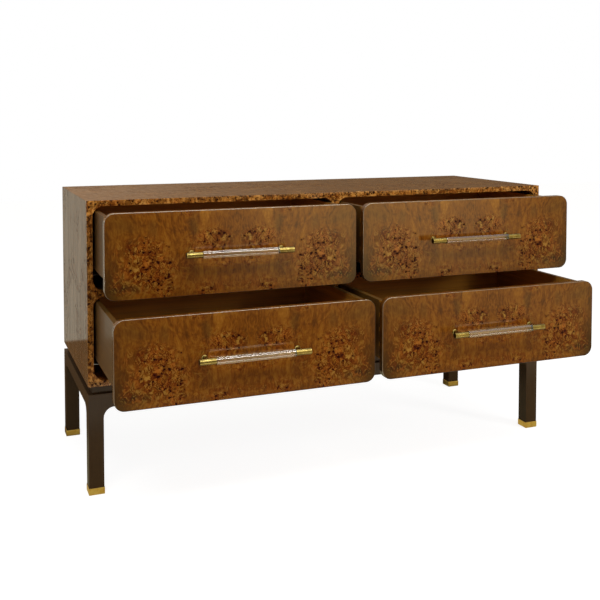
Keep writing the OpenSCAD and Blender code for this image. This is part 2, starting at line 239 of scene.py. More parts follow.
class Bench:
    """The node tree of one material or world, where a finish is mixed."""

    def __init__(self, tree: bpy.types.NodeTree) -> None:
        """Clears the tree.

        Args:
            tree: The node tree to fill.
        """
        self.tree = tree
        tree.nodes.clear()

    def add(self, kind: str, settings: Mapping[str, Any], sockets: Sockets) -> Fitting:
        """Adds a node.

        Args:
            kind: Blender's node type.
            settings: Properties, set before the sockets. color_ramp takes (position, colour) stops.
            sockets: Values or wires by input number or name.

        Returns:
            The node, ready to be indexed for its outputs.
        """
        node = self.tree.nodes.new(kind)
        for name, value in settings.items():
            if name == "color_ramp":
                self._set_stops(node.color_ramp, value)
            else:
                setattr(node, name, value)
        for key, value in sockets.items():
            if isinstance(value, Wire):
                self.tree.links.new(value.socket, node.inputs[key])
            elif isinstance(value, (tuple, list)) and node.inputs[key].type == "RGBA":
                node.inputs[key].default_value = (*value[:3], 1.0)
            else:
                node.inputs[key].default_value = value
        return Fitting(self, node)

    @staticmethod
    def _set_stops(ramp: bpy.types.ColorRamp, stops: Stops) -> None:
        """Gives a ramp its stops.

        Args:
            ramp: The ramp of a Color Ramp node.
            stops: Positions and colours, in rising order.
        """
        while len(ramp.elements) < len(stops):
            ramp.elements.new(0.5)
        for element, (position, colour) in zip(ramp.elements, stops):
            element.position = position
            element.color = (*colour, 1.0)

    def place(self) -> Wire:
        """Where a point is in its object's own frame, in metres."""
        return self.add("ShaderNodeTexCoord", {}, {})["Object"]

    def vector(self, x: Any, y: Any, z: Any) -> Wire:
        """Three numbers or wires as one vector."""
        return self.add("ShaderNodeCombineXYZ", {}, {0: x, 1: y, 2: z})[0]

    def noise(self, where: Wire, scale: float, detail: float = 2.0, rough: float = 0.5,
              bend: float = 0.0) -> Wire:
        """Noise between 0 and 1.

        Args:
            where: Place to sample.
            scale: Waves per metre.
            detail: Octaves.
            rough: Strength of each further octave.
            bend: Distortion.

        Returns:
            The noise as a number.
        """
        sockets = {"Vector": where, "Scale": scale, "Detail": detail, "Roughness": rough, "Distortion": bend}
        return self.add("ShaderNodeTexNoise", {"noise_dimensions": "3D"}, sockets)["Fac"]

    def drift(self, where: Wire, scale: float, reach: float, detail: float = 1.0) -> Wire:
        """A wandering shift of a place.

        Args:
            where: Place to shift.
            scale: Waves per metre.
            reach: Largest shift, in metres.
            detail: Octaves.

        Returns:
            The shifted place.
        """
        sockets = {"Vector": where, "Scale": scale, "Detail": detail, "Roughness": 0.5}
        noise = self.add("ShaderNodeTexNoise", {"noise_dimensions": "3D"}, sockets)["Color"]
        return where + self.add("ShaderNodeVectorMath", {"operation": "SUBTRACT"},
                                {0: noise, 1: (0.5, 0.5, 0.5)})[0] * (2 * reach)

    def cells(self, where: Wire, scale: float) -> Fitting:
        """Cells round scattered points, with outputs Distance, Color and Position."""
        return self.add("ShaderNodeTexVoronoi", {"voronoi_dimensions": "3D", "feature": "F1"},
                        {"Vector": where, "Scale": scale, "Randomness": 1.0})

    def blend(self, factor: Any, first: Any, second: Any) -> Wire:
        """A colour between two colours.

        Args:
            factor: 0 for the first, 1 for the second.
            first: A colour or wire.
            second: A colour or wire.

        Returns:
            The mixed colour.
        """
        settings = {"data_type": "RGBA", "clamp_factor": True}
        return self.add("ShaderNodeMix", settings, {0: factor, 6: first, 7: second})[2]

    def layers(self, ground: Any, coats: Iterable[tuple[Any, Any]]) -> Wire:
        """Colours laid over each other.

        Args:
            ground: The colour or wire below.
            coats: How much of each further colour shows, and the colour, from the lowest up.

        Returns:
            The colour on top.
        """
        for amount, colour in coats:
            ground = self.blend(amount, ground, colour)
        return ground

    def ramp(self, value: Wire, stops: Stops) -> Wire:
        """The colour at a value on a row of stops."""
        return self.add("ShaderNodeValToRGB", {"color_ramp": stops}, {0: value})[0]

    def facing(self) -> tuple[Wire, Wire, Wire]:
        """How far the surface looks to the right, to the back and up, each from -1 to 1."""
        return self.add("ShaderNodeNewGeometry", {}, {})["Normal"].parts()


@dataclass(frozen=True)
class Finish:
    """A finish made of one principled shader. What varies comes from the dress method."""

    name: str
    roughness: float = 0.4
    coat: float = 0.0
    coat_roughness: float = 0.1
    coat_index: float = 1.5
    shine: float = 0.5

    def make(self) -> Material:
        """Builds the material.

        Returns:
            The material, ready for a slot.
        """
        material = bpy.data.materials.new(self.name)
        material.use_nodes = True
        bench = Bench(material.node_tree)
        sockets: Sockets = {
            "Roughness": self.roughness,
            "Coat Weight": self.coat,
            "Coat Roughness": self.coat_roughness,
            "Coat IOR": self.coat_index,
            "Specular IOR Level": self.shine,
        }
        sockets |= self.dress(bench)
        shader = bench.add("ShaderNodeBsdfPrincipled", {}, sockets)
        bench.add("ShaderNodeOutputMaterial", {}, {"Surface": shader[0]})
        return material

    def dress(self, bench: Bench) -> Sockets:
        """Works out the sockets that make this finish its own.

        Args:
            bench: The material's node tree.

        Returns:
            Values or wires by socket name of the principled shader.
        """
        raise NotImplementedError

    @staticmethod
    def bump(bench: Bench, height: Wire, distance: float, strength: float) -> Wire:
        """A normal tilted by a height.

        Args:
            bench: The material's node tree.
            height: Height between 0 and 1.
            distance: Height that 1 stands for, in metres.
            strength: How much of the tilt is kept.

        Returns:
            The tilted normal.
        """
        return bench.add("ShaderNodeBump", {},
                         {"Height": height, "Distance": distance, "Strength": strength})[0]


class Leaf(Enum):
    """How the figure of a veneer is laid out."""

    BOOK_MATCHED = "book matched"
    DENSE = "dense"
    SCATTERED = "scattered"


class Run(Enum):
    """Which way grain or turning marks run: across, deep or up."""

    ACROSS = 0
    DEEP = 1
    UP = 2


@dataclass(frozen=True)
class Figure:
    """A patch of burl on a book-matched front, measured in metres from the front's middle."""

    x: float
    z: float
    reach_x: float
    reach_z: float
    strength: float = 1.0


@dataclass(frozen=True)
class Knot:
    """A dark knot on a book-matched front, measured as a patch is."""

    x: float
    z: float
    radius: float


FRONT_FIGURES = (
    Figure(0.250, 0.006, 0.060, 0.046),
    Figure(0.236, -0.046, 0.072, 0.050),
    Figure(0.205, -0.090, 0.036, 0.036, 0.85),
    Figure(0.066, 0.036, 0.050, 0.032),
    Figure(0.050, -0.026, 0.044, 0.018, 0.6),
    Figure(0.148, 0.110, 0.022, 0.012, 0.75),
    Figure(0.084, -0.104, 0.030, 0.014, 0.85),
)
CURLS = (
    Figure(0.268, -0.040, 0.068, 0.070, 0.75),
    Figure(0.318, -0.070, 0.030, 0.036, 0.6),
    Figure(0.300, 0.010, 0.040, 0.030, 0.5),
    Figure(0.085, 0.020, 0.060, 0.050, 0.6),
    Figure(0.140, -0.020, 0.030, 0.050, 0.3),
    Figure(0.075, -0.092, 0.080, 0.022, 0.4),
)
SMOKE = (
    Figure(0.121, 0.068, 0.014, 0.050, 0.75),
    Figure(0.240, 0.072, 0.016, 0.036, 0.5),
    Figure(0.300, 0.084, 0.055, 0.024, 0.4),
    Figure(0.290, -0.086, 0.046, 0.018, 0.7),
    Figure(0.128, -0.030, 0.018, 0.060, 0.35),
)
KNOTS = (
    Knot(0.241, 0.009, 0.0027), Knot(0.258, -0.031, 0.0025), Knot(0.262, -0.047, 0.0027),
    Knot(0.231, -0.070, 0.0022), Knot(0.206, -0.072, 0.0019), Knot(0.191, -0.059, 0.0027),
    Knot(0.192, -0.098, 0.0021), Knot(0.189, 0.020, 0.0024), Knot(0.291, -0.036, 0.0023),
    Knot(0.227, 0.003, 0.0020), Knot(0.075, 0.050, 0.0026), Knot(0.037, 0.050, 0.0031),
    Knot(0.092, 0.031, 0.0025), Knot(0.069, 0.021, 0.0021), Knot(0.036, 0.018, 0.0025),
    Knot(0.098, -0.102, 0.0022), Knot(0.072, -0.102, 0.0020),
)
RIPPLE = Figure(0.316, -0.078, 0.030, 0.040)
RIPPLE_MIDDLE: Place = (0.250, 0.0, -0.020)


@dataclass(frozen=True)
class BurlVeneer(Finish):
    """Glossy golden-brown burl: dark eyes and curls in patches, silky grain between them."""

    leaf: Leaf = Leaf.DENSE
    roughness: float = 0.5
    coat: float = 1.0
    coat_roughness: float = 0.06
    shine: float = 0.05
    eye_scale: float = 96.0
    eye_girth: float = 0.11
    ripple_pitch: float = 8.5 * MM
    mottle: float = 0.0
    mottle_scale: Place = (55.0, 18.0, 18.0)
    dark: Colour = tone(52, 26, 5)
    deep: Colour = tone(85, 45, 5)
    middle: Colour = tone(110, 61, 8)
    light: Colour = tone(129, 79, 16)
    gold: Colour = tone(150, 96, 28)
    rust: Colour = tone(112, 43, 1)
    ember: Colour = tone(62, 18, 0)
    flare: Colour = tone(150, 86, 22)
    straw: Colour = tone(156, 112, 42)
    shade_and_smoke_tone: Colour = tone(58, 38, 12)
    eye: Colour = tone(32, 5, 0)

    @staticmethod
    def patch(where: Wire, figure: Figure, outer: float, inner: float) -> Wire:
        """A soft-edged patch.

        Args:
            where: Place on the leaf, in metres.
            figure: The patch's place, reach and strength.
            outer: Where the patch ends, as a share of its reach.
            inner: Where it is full.

        Returns:
            The strength of the patch at the place.
        """
        offset = (where - (figure.x, 0.0, figure.z)) * (1 / figure.reach_x, 0.0, 1 / figure.reach_z)
        return offset.length().rise(outer, inner) * figure.strength

    def density(self, bench: Bench, where: Wire) -> Wire:
        """How much burl there is at a place.

        Args:
            bench: The material's node tree.
            where: Place on the leaf, in metres.

        Returns:
            A number from 0, plain, to 1, full of eyes.
        """
        loose = bench.noise(where, 46.0, 3.0, 0.6)
        if self.leaf is Leaf.DENSE:
            return (0.55 + loose * 0.7).clipped()
        if self.leaf is Leaf.SCATTERED:
            patch = bench.noise(where, 6.5, 2.0, 0.55, 0.6)
            return patch.rise(0.46, 0.62) * (0.35 + loose * 0.9)
        wander = bench.drift(where, 26.0, 0.014, 2.0)
        patches = [self.patch(wander, figure, 1.35, 0.4) for figure in FRONT_FIGURES]
        return (reduce(Wire.at_least, patches) * (0.65 + loose * 0.8)).clipped()

    def swirl(self, bench: Bench, where: Wire, burl: Wire) -> Wire:
        """How strongly the grain curls at a place, beyond the eyes too.

        Args:
            bench: The material's node tree.
            where: Place on the leaf, in metres.
            burl: How much burl there is.

        Returns:
            A number from 0, straight, to 1, knotted.
        """
        if self.leaf is not Leaf.BOOK_MATCHED:
            return burl
        wander = bench.drift(where, 30.0, 0.012, 2.0)
        return reduce(Wire.at_least, (self.patch(wander, figure, 1.4, 0.3) for figure in CURLS), burl)

    def eyes(self, bench: Bench, place: Wire, cells: Fitting, burl: Wire) -> tuple[Wire, Wire]:
        """Dark pores that crowd where the burl is dense, and the knots of a book-matched front.

        Args:
            bench: The material's node tree.
            place: Place on the leaf, in metres.
            cells: The cells that hold one pore each.
            burl: How much burl there is.

        Returns:
            The eyes, and the dark halos round them.
        """
        kind, girth, _ = cells["Color"].parts()
        present = (burl - 0.15 - kind).rise(0.0, 0.12)
        span = cells["Distance"] / (girth * girth * 0.27 + self.eye_girth)
        if self.leaf is not Leaf.BOOK_MATCHED:
            return span.rise(1.15, 0.7) * present, span.rise(3.2, 0.9) * present
        flat = bench.drift(place, 170.0, 0.0040, 1.0) * (1.0, 0.0, 1.0)
        knot = reduce(Wire.at_most, ((flat - (k.x, 0.0, k.z)).length() / k.radius for k in KNOTS))
        return ((span.rise(1.15, 0.7) * present).at_least(knot.rise(1.4, 0.9)),
                (span.rise(3.4, 0.8) * present).at_least(knot.rise(4.0, 1.0)))

    @staticmethod
    def silk(bench: Bench, sway: Wire) -> tuple[Wire, Wire]:
        """The quiet figure between the eyes: clouds, bands and fine fibres that run upright.

        Args:
            bench: The material's node tree.
            sway: A place that sways with the grain.

        Returns:
            The figure's level, about 0.5, and its fibres.
        """
        sx, sy, sz = sway.parts()
        band = bench.noise(bench.vector(sx, sy, sz * 0.15), 18.0, 2.0, 0.5)
        cloud = bench.noise(sway, 14.0, 2.0, 0.5, 0.8)
        streak = bench.noise(bench.vector(sx, sy, sz * 0.2), 140.0, 2.0, 0.6)
        fibre = bench.noise(bench.vector(sx, sy, sz * 0.12), 420.0, 2.0, 0.6)
        shimmer = bench.noise(bench.vector(sx, sy, sz * 0.8), 60.0, 2.0, 0.6, 1.0)
        level = (0.5 + (band - 0.5) * 0.65 + (cloud - 0.5) * 0.5 + (streak - 0.5) * 0.7
                 + (fibre - 0.5) * 0.5 + (shimmer - 0.5) * 0.7)
        return level, fibre

    def painted_shade_and_smoke(self, bench: Bench, place: Wire, sway: Wire) -> Wire:
        """How much painted shade darkens a book-matched front at its ends and below, and how dark its smoky
        patches are.

        Args:
            bench: The material's node tree.
            place: Place in the front's own frame, before the book match.
            sway: A place on the leaf that sways with the grain.

        Returns:
            The strength of the painted shade and of the smoky patches, together.
        """
        x, _, z = place.parts()
        drifting = bench.drift(sway, 34.0, 0.010, 2.0)
        # Painted shade: darker towards both ends, more so low down, and along the bottom edge
        shade_and_smoke_amount = abs(x).rise(0.25, 0.37) * (0.35 + z.rise(0.03, -0.08) * 0.6) + z.rise(-0.07, -0.13) * 0.06
        # The smoky patches are dark figure in the veneer
        for figure in SMOKE:
            shade_and_smoke_amount = self.patch(drifting, figure, 1.3, 0.1) * 0.8 + shade_and_smoke_amount
        return shade_and_smoke_amount

    def rippled(self, bench: Bench, place: Wire) -> Wire:
        """Fine pale rings at the lower corners of a book-matched front.

        Args:
            bench: The material's node tree.
            place: Place on the leaf, in metres.

        Returns:
            What the rings add to the figure's level.
        """
        reach = (bench.drift(place, 34.0, 0.010, 2.0) - RIPPLE_MIDDLE) * (1.0, 0.0, 0.7)
        rings = (reach.length() * (2 * math.pi / self.ripple_pitch)).sine()
        strength = self.patch(place, RIPPLE, 1.2, 0.2) * bench.noise(place, 60.0).rise(0.42, 0.6)
        return rings.rise(0.2, 0.9) * strength * 0.6

    def dress(self, bench: Bench) -> Sockets:
        """Lays silk, curls and eyes over each other.

        Args:
            bench: The material's node tree.

        Returns:
            Wires by socket name.
        """
        matched = self.leaf is Leaf.BOOK_MATCHED
        front = place = bench.place()
        x, y, z = front.parts()
        if matched:
            slice_number = bench.add("ShaderNodeAttribute", {"attribute_name": "leaf"}, {})["Fac"]
            side = bench.add("ShaderNodeMath", {"operation": "SIGN"}, {0: x})[0]
            place = bench.vector(abs(x), y * 0.2 + side * (0.5 * MM) + slice_number * (0.6 * MM), z)
        burl = self.density(bench, place)
        ragged = bench.drift(bench.drift(place, 30.0, 0.006, 2.0), 170.0, 0.0036, 1.0)
        cells = bench.cells(ragged, self.eye_scale)
        eye, halo = self.eyes(bench, place, cells, burl)

        # The grain is pushed round the eyes and knotted inside the burl
        bulge = (ragged - cells["Position"]) * (cells["Distance"].rise(0.9, 0.1) * burl * 1.6)
        knotted = bench.drift(bench.drift(place + bulge, 24.0, 0.024, 1.0), 55.0, 0.013, 1.0)
        swirl = self.swirl(bench, place, burl)
        curl = bench.noise(knotted * (1.0, 1.0, 0.5), 165.0, 1.0, 0.5)
        flick = bench.noise(knotted * (1.0, 1.0, 0.5), 235.0, 1.0, 0.5)
        twist = curl + (flick - 0.5) * 0.7
        flame = twist.rise(0.50, 0.70) * swirl
        furrow = twist.rise(0.50, 0.32) * swirl
        warmth = bench.noise(knotted, 60.0, 2.0, 0.6)

        sway = bench.drift(place, 8.0, 0.030, 2.0)
        level, fibre = self.silk(bench, sway)
        shade_and_smoke_amount: Wire | float = 0.0
        if matched:
            # Painted shade at the ends and along the bottom, with the smoky patches of the figure
            shade_and_smoke_amount = self.painted_shade_and_smoke(bench, front, sway)
            seam = abs(x).rise(0.6 * MM, 0.3 * MM) * 0.12
            level = level + self.rippled(bench, place) + seam
        ground = bench.ramp(level.clipped(), (
            (0.0, self.dark), (0.28, self.deep), (0.5, self.middle), (0.74, self.light), (1.0, self.gold)))
        colour = bench.layers(ground, (
            # Painted shade and the smoky figure
            (shade_and_smoke_amount, self.shade_and_smoke_tone),
            (swirl * warmth.rise(0.54, 0.42) * 0.5, self.rust),
            (furrow * 0.9, self.ember),
            (flame * 0.9, bench.blend(warmth.rise(0.42, 0.58), self.flare, self.straw)),
            (halo * (0.35 + furrow * 0.55), self.ember),
            (eye, self.eye),
        ))
        relief = 0.5 + (fibre - 0.5) * 0.4 - eye * 0.5
        sunken = (eye * 0.95).at_least(furrow * 0.7).at_least(halo * 0.45)
        wiped = (bench.noise(place * self.mottle_scale, 1.0, 3.0, 0.65) - 0.5) * self.mottle
        return {
            "Base Color": colour,
            "Roughness": self.roughness + (curl - 0.5) * 0.1,
            "Coat Weight": (self.coat + wiped) * (1.0 - sunken),
            "Normal": self.bump(bench, relief, 0.04 * MM, 0.5),
        }


@dataclass(frozen=True)
class PlainVeneer(Finish):
    """Straight-grained wood. On a drawer's box the rims and the outer faces are darker.

    The field outward is where the outer face looks along X, -1 for left and 1 for right. With 0 only the
    rims get the painted shade, and with None nothing does.
    rim is darker, and with None nothing is.
    """

    roughness: float = 0.4
    coat: float = 0.8
    coat_roughness: float = 0.14
    grain: Run = Run.UP
    dark: Colour = tone(58, 34, 16)
    light: Colour = tone(112, 74, 40)
    side_and_rim_shade: Colour = tone(52, 38, 18)
    outward: float | None = None

    def dress(self, bench: Bench) -> Sockets:
        """Stretches noise along the grain and draws pores in it.

        Args:
            bench: The material's node tree.

        Returns:
            Values and wires by socket name.
        """
        others = list(bench.place().parts())
        run = others.pop(self.grain.value)
        a, b = others[0] + ASIDE, others[1]
        sway = bench.drift(bench.vector(a, b, run * 0.25), 7.0, 0.012, 2.0)
        sa, sb, sr = sway.parts()
        rings = bench.noise(bench.vector(sa, sb, sr * 0.12), 60.0, 3.0, 0.55)
        streak = bench.noise(bench.vector(sa, sb, sr * 0.05), 330.0, 2.0, 0.6)
        pores = bench.noise(bench.vector(a, b, run * 0.04), 900.0, 1.0, 0.5)
        level = 0.5 + (rings - 0.5) * 1.1 + (streak - 0.5) * 0.5
        colour = bench.blend(level.clipped(), self.dark, self.light)
        pore = pores.rise(0.36, 0.24)
        colour = bench.blend(pore * 0.55, colour, self.dark)
        # Painted shade on the outer face and the upward rims of a drawer's box
        if self.outward is not None:
            across, _, up = bench.facing()
            side_and_rim_shade = (across * self.outward).at_least(up).rise(0.4, 0.6)
            colour = bench.blend(side_and_rim_shade * 0.75, colour, self.side_and_rim_shade)
        return {
            "Base Color": colour,
            "Roughness": self.roughness + (streak - 0.5) * 0.12,
            "Normal": self.bump(bench, 0.5 + (streak - 0.5) * 0.5 - pore * 0.4, 0.08 * MM, 0.6),
        }


@dataclass(frozen=True)
class LitAndShadedEdge(PlainVeneer):
    """A front's eased edge: a painted highlight of pale glossy wood above and to the left, painted shade in a
    dark colour below and to the right.
    """

    edge_shade: Colour = tone(44, 20, 6)

    def dress(self, bench: Bench) -> Sockets:
        """Keeps the pale wood and its gloss as a painted highlight where the edge looks up or to the left,
        and paints shade where it looks down or to the right.

        Args:
            bench: The material's node tree.

        Returns:
            Values and wires by socket name.
        """
        edge = super().dress(bench)
        across, _, up = bench.facing()
        # Painted highlight where the edge looks up or to the left, painted shade where it looks down or to
        # the right
        edge_highlight = (up - across).rise(-0.15, 0.4)
        edge["Base Color"] = bench.blend(edge_highlight, self.edge_shade, edge["Base Color"])
        edge["Coat Weight"] = edge_highlight * self.coat
        return edge


@dataclass(frozen=True)
class DarkStain(Finish):
    """Near-black brown stain under satin lacquer, with a trace of grain."""

    roughness: float = 0.5
    coat: float = 0.25
    coat_roughness: float = 0.2
    shine: float = 0.15
    dark: Colour = tone(46, 28, 10)
    light: Colour = tone(72, 49, 21)

    def dress(self, bench: Bench) -> Sockets:
        """A faint upright grain and soft clouding.

        Args:
            bench: The material's node tree.

        Returns:
            Values and wires by socket name.
        """
        place = bench.place()
        x, y, z = place.parts()
        grain = bench.noise(bench.vector(x, y, z * 0.1), 240.0, 3.0, 0.6)
        cloud = bench.noise(place, 9.0, 2.0, 0.5)
        level = (0.5 + (grain - 0.5) * 0.6 + (cloud - 0.5) * 0.5).clipped()
        return {
            "Base Color": bench.blend(level, self.dark, self.light),
            "Roughness": self.roughness + (grain - 0.5) * 0.1,
            "Normal": self.bump(bench, grain, 0.06 * MM, 0.4),
        }


@dataclass(frozen=True)
class Brass(Finish):
    """Brass, worn a little at a fine scale."""

    roughness: float = 0.29
    colour: Colour = tone(156, 139, 82)
    tarnish: Colour = tone(118, 102, 52)
    axis: Run = Run.ACROSS
    left_cap_shade: Colour | None = None

    def dress(self, bench: Bench) -> Sockets:
        """Fine turning marks and soft tarnish, with painted shade on the end caps that look to the left.

        Args:
            bench: The material's node tree.

        Returns:
            Values and wires by socket name.
        """
        place = bench.place()
        marks = bench.noise(bench.vector(place.parts()[self.axis.value], 0.0, 0.0), 2600.0, 2.0, 0.6)
        cloud = bench.noise(place, 60.0, 3.0, 0.6)
        colour = bench.blend(cloud.rise(0.35, 0.75), self.colour, self.tarnish)
        # Painted shade on the end caps that look to the left
        if self.left_cap_shade is not None:
            colour = bench.blend(bench.facing()[0].rise(-0.85, -0.97) * 0.9, colour, self.left_cap_shade)
        return {
            "Metallic": 1.0,
            "Base Color": colour,
            "Roughness": self.roughness + (cloud - 0.5) * 0.18,
            "Normal": self.bump(bench, marks, 0.012 * MM, 0.35),
        }


@dataclass(frozen=True)
class ClearRod(Finish):
    """Clear cast acrylic with a bright polish."""

    coat: float = 1.0
    coat_index: float = 1.85
    coat_roughness: float = 0.05
    tint: Colour = tone(240, 230, 202)
    index: float = 1.49

    def dress(self, bench: Bench) -> Sockets:
        """Transmission, and a haze of fine wipe marks.

        Args:
            bench: The material's node tree.

        Returns:
            Values and wires by socket name.
        """
        haze = bench.noise(bench.place(), 220.0, 2.0, 0.6)
        return {
            "Base Color": self.tint,
            "Transmission Weight": 1.0,
            "IOR": self.index,
            "Roughness": haze * 0.03,
        }


@dataclass(frozen=True)
class Steel(Finish):
    """Zinc-plated steel with a rolled surface."""

    roughness: float = 0.34
    colour: Colour = tone(170, 172, 176)
    spangled: Colour = tone(138, 140, 146)

    def dress(self, bench: Bench) -> Sockets:
        """Rolling streaks and spangle.

        Args:
            bench: The material's node tree.

        Returns:
            Values and wires by socket name.
        """
        place = bench.place()
        x, y, z = place.parts()
        streak = bench.noise(bench.vector(x, y * 0.04, z), 700.0, 2.0, 0.6)
        spangle = bench.noise(place, 180.0, 2.0, 0.5)
        return {
            "Metallic": 1.0,
            "Base Color": bench.blend(spangle, self.spangled, self.colour),
            "Roughness": self.roughness + (streak - 0.5) * 0.2,
            "Normal": self.bump(bench, streak, 0.02 * MM, 0.4),
        }


@dataclass
class Joiner:
    """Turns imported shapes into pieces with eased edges.

    Points nearer than weld become one, and faces that bend by less than flat do. An edge is eased, with that
    many facets, where it bends by more than corner and is longer than shortest.
    """

    nodes: Mapping[str, Piece]
    weld: float = 0.002 * MM
    flat: float = 0.002
    corner: float = 0.5
    shortest: float = 1.2 * MM
    facets: int = 3

    def welded(self, nodes: Sequence[str]) -> Mesh:
        """Joins the shapes of nodes that touch into one closed skin.

        Args:
            nodes: The nodes' names.

        Returns:
            A mesh without the faces where the shapes meet.
        """
        parts = []
        for node in nodes:
            part = bmesh.new()
            part.from_mesh(self.nodes[node].data)
            bmesh.ops.remove_doubles(part, verts=part.verts, dist=self.weld)
            bmesh.ops.dissolve_limit(part, angle_limit=self.flat, verts=part.verts, edges=part.edges)
            parts.append(part)
        whole = merged(parts)
        bmesh.ops.remove_doubles(whole, verts=whole.verts, dist=self.weld)
        inner = [f for f in whole.faces if all(len(e.link_faces) > 2 for e in f.edges)]
        bmesh.ops.delete(whole, geom=inner, context="FACES")
        bmesh.ops.dissolve_limit(whole, angle_limit=self.flat, verts=whole.verts, edges=whole.edges)
        return whole

    def eased(self, name: str, nodes: Sequence[str], radius: float, origin: Vector | None = None,
              keep: Callable[[bmesh.types.BMEdge], bool] | None = None) -> Piece:
        """Makes a piece from nodes with its outer edges rounded, and lets it stand for them.

        Args:
            name: Name of the piece.
            nodes: Nodes that it replaces.
            radius: Radius of the rounded edges, in metres.
            origin: Origin of the piece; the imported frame's where it is None.
            keep: Says which edges stay sharp.

        Returns:
            The piece, which replaces the nodes.
        """
        mesh = self.welded(nodes)
        edges = [e for e in mesh.edges
                 if len(e.link_faces) == 2 and e.is_convex and e.calc_face_angle() > self.corner
                 and e.calc_length() > self.shortest and not (keep and keep(e))]
        bmesh.ops.bevel(mesh, geom=edges, offset=radius, offset_type="OFFSET", segments=self.facets,
                        profile=0.5, affect="EDGES", clamp_overlap=True)
        piece = finished_piece(name, mesh, origin or Vector())
        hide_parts(*nodes)
        return piece


def finished_piece(name: str, mesh: Mesh, origin: Vector) -> Piece:
    """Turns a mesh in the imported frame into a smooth-shaded piece with its own origin.

    Args:
        name: Name of the piece.
        mesh: The mesh, which is freed.
        origin: Where the piece's origin goes.

    Returns:
        The piece, linked into the scene.
    """
    bmesh.ops.translate(mesh, verts=mesh.verts, vec=-origin)
    data = bpy.data.meshes.new(name)
    mesh.to_mesh(data)
    mesh.free()
    data.materials.clear()
    data.shade_smooth()
    data.set_sharp_from_angle(angle=SHARP)
    piece = bpy.data.objects.new(name, data)
    piece.location = origin
    bpy.context.scene.collection.objects.link(piece)
    even = piece.modifiers.new("even_normals", "WEIGHTED_NORMAL")
    even.keep_sharp = True
    return piece


def turned(profile: Sequence[Point], origin: Vector, axis: Vector, steps: int = 72) -> Mesh:
    """Turns a profile about an axis.

    Args:
        profile: Points of (distance along the axis, radius), in metres.
        origin: Where the axis starts.
        axis: Direction of the axis.
        steps: Facets round the axis.

    Returns:
        The turned mesh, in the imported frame.
    """
    mesh = bmesh.new()
    frame = axis.to_track_quat("Z", "Y").to_matrix().to_4x4()
    frame.translation = origin
    rows: list[list[bmesh.types.BMVert]] = []
    for along, radius in profile:
        count = 1 if radius < ON_AXIS else steps
        rows.append([
            mesh.verts.new(frame @ Vector((radius * math.cos(turn), radius * math.sin(turn), along)))
            for turn in (2 * math.pi * i / steps for i in range(count))])
    for low, high in zip(rows, rows[1:]):
        for i in range(steps):
            j = (i + 1) % steps
            corners = [low[i % len(low)], low[j % len(low)], high[j % len(high)], high[i % len(high)]]
            unique = list(dict.fromkeys(corners))
            if len(unique) > 2:
                mesh.faces.new(unique)
    bmesh.ops.recalc_face_normals(mesh, faces=mesh.faces)
    return mesh


def merged(meshes: Iterable[Mesh]) -> Mesh:
    """Several meshes as one, each freed.

    Args:
        meshes: The meshes.

    Returns:
        One mesh that holds them all.
    """
    whole = bmesh.new()
    for part in meshes:
        loose = bpy.data.meshes.new("loose")
        part.to_mesh(loose)
        part.free()
        whole.from_mesh(loose)
        bpy.data.meshes.remove(loose)
    return whole


def dress(obj: Piece, material: Material) -> None:
    """Gives every slot of an object one material.

    Args:
        obj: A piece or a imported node.
        material: The material.
    """
    if not obj.material_slots:
        obj.data.materials.append(material)
    for place in obj.material_slots:
        place.material = material


def hung(piece: Piece, material: Material, body: str) -> None:
    """Dresses a piece, hangs it on its body and reports it.

    Args:
        piece: The piece.
        material: Its material.
        body: The body that it moves with.
    """
    dress(piece, material)
    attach(piece, body)
    LOG.info("%s: %d faces on %s", piece.name, len(piece.data.polygons), body)


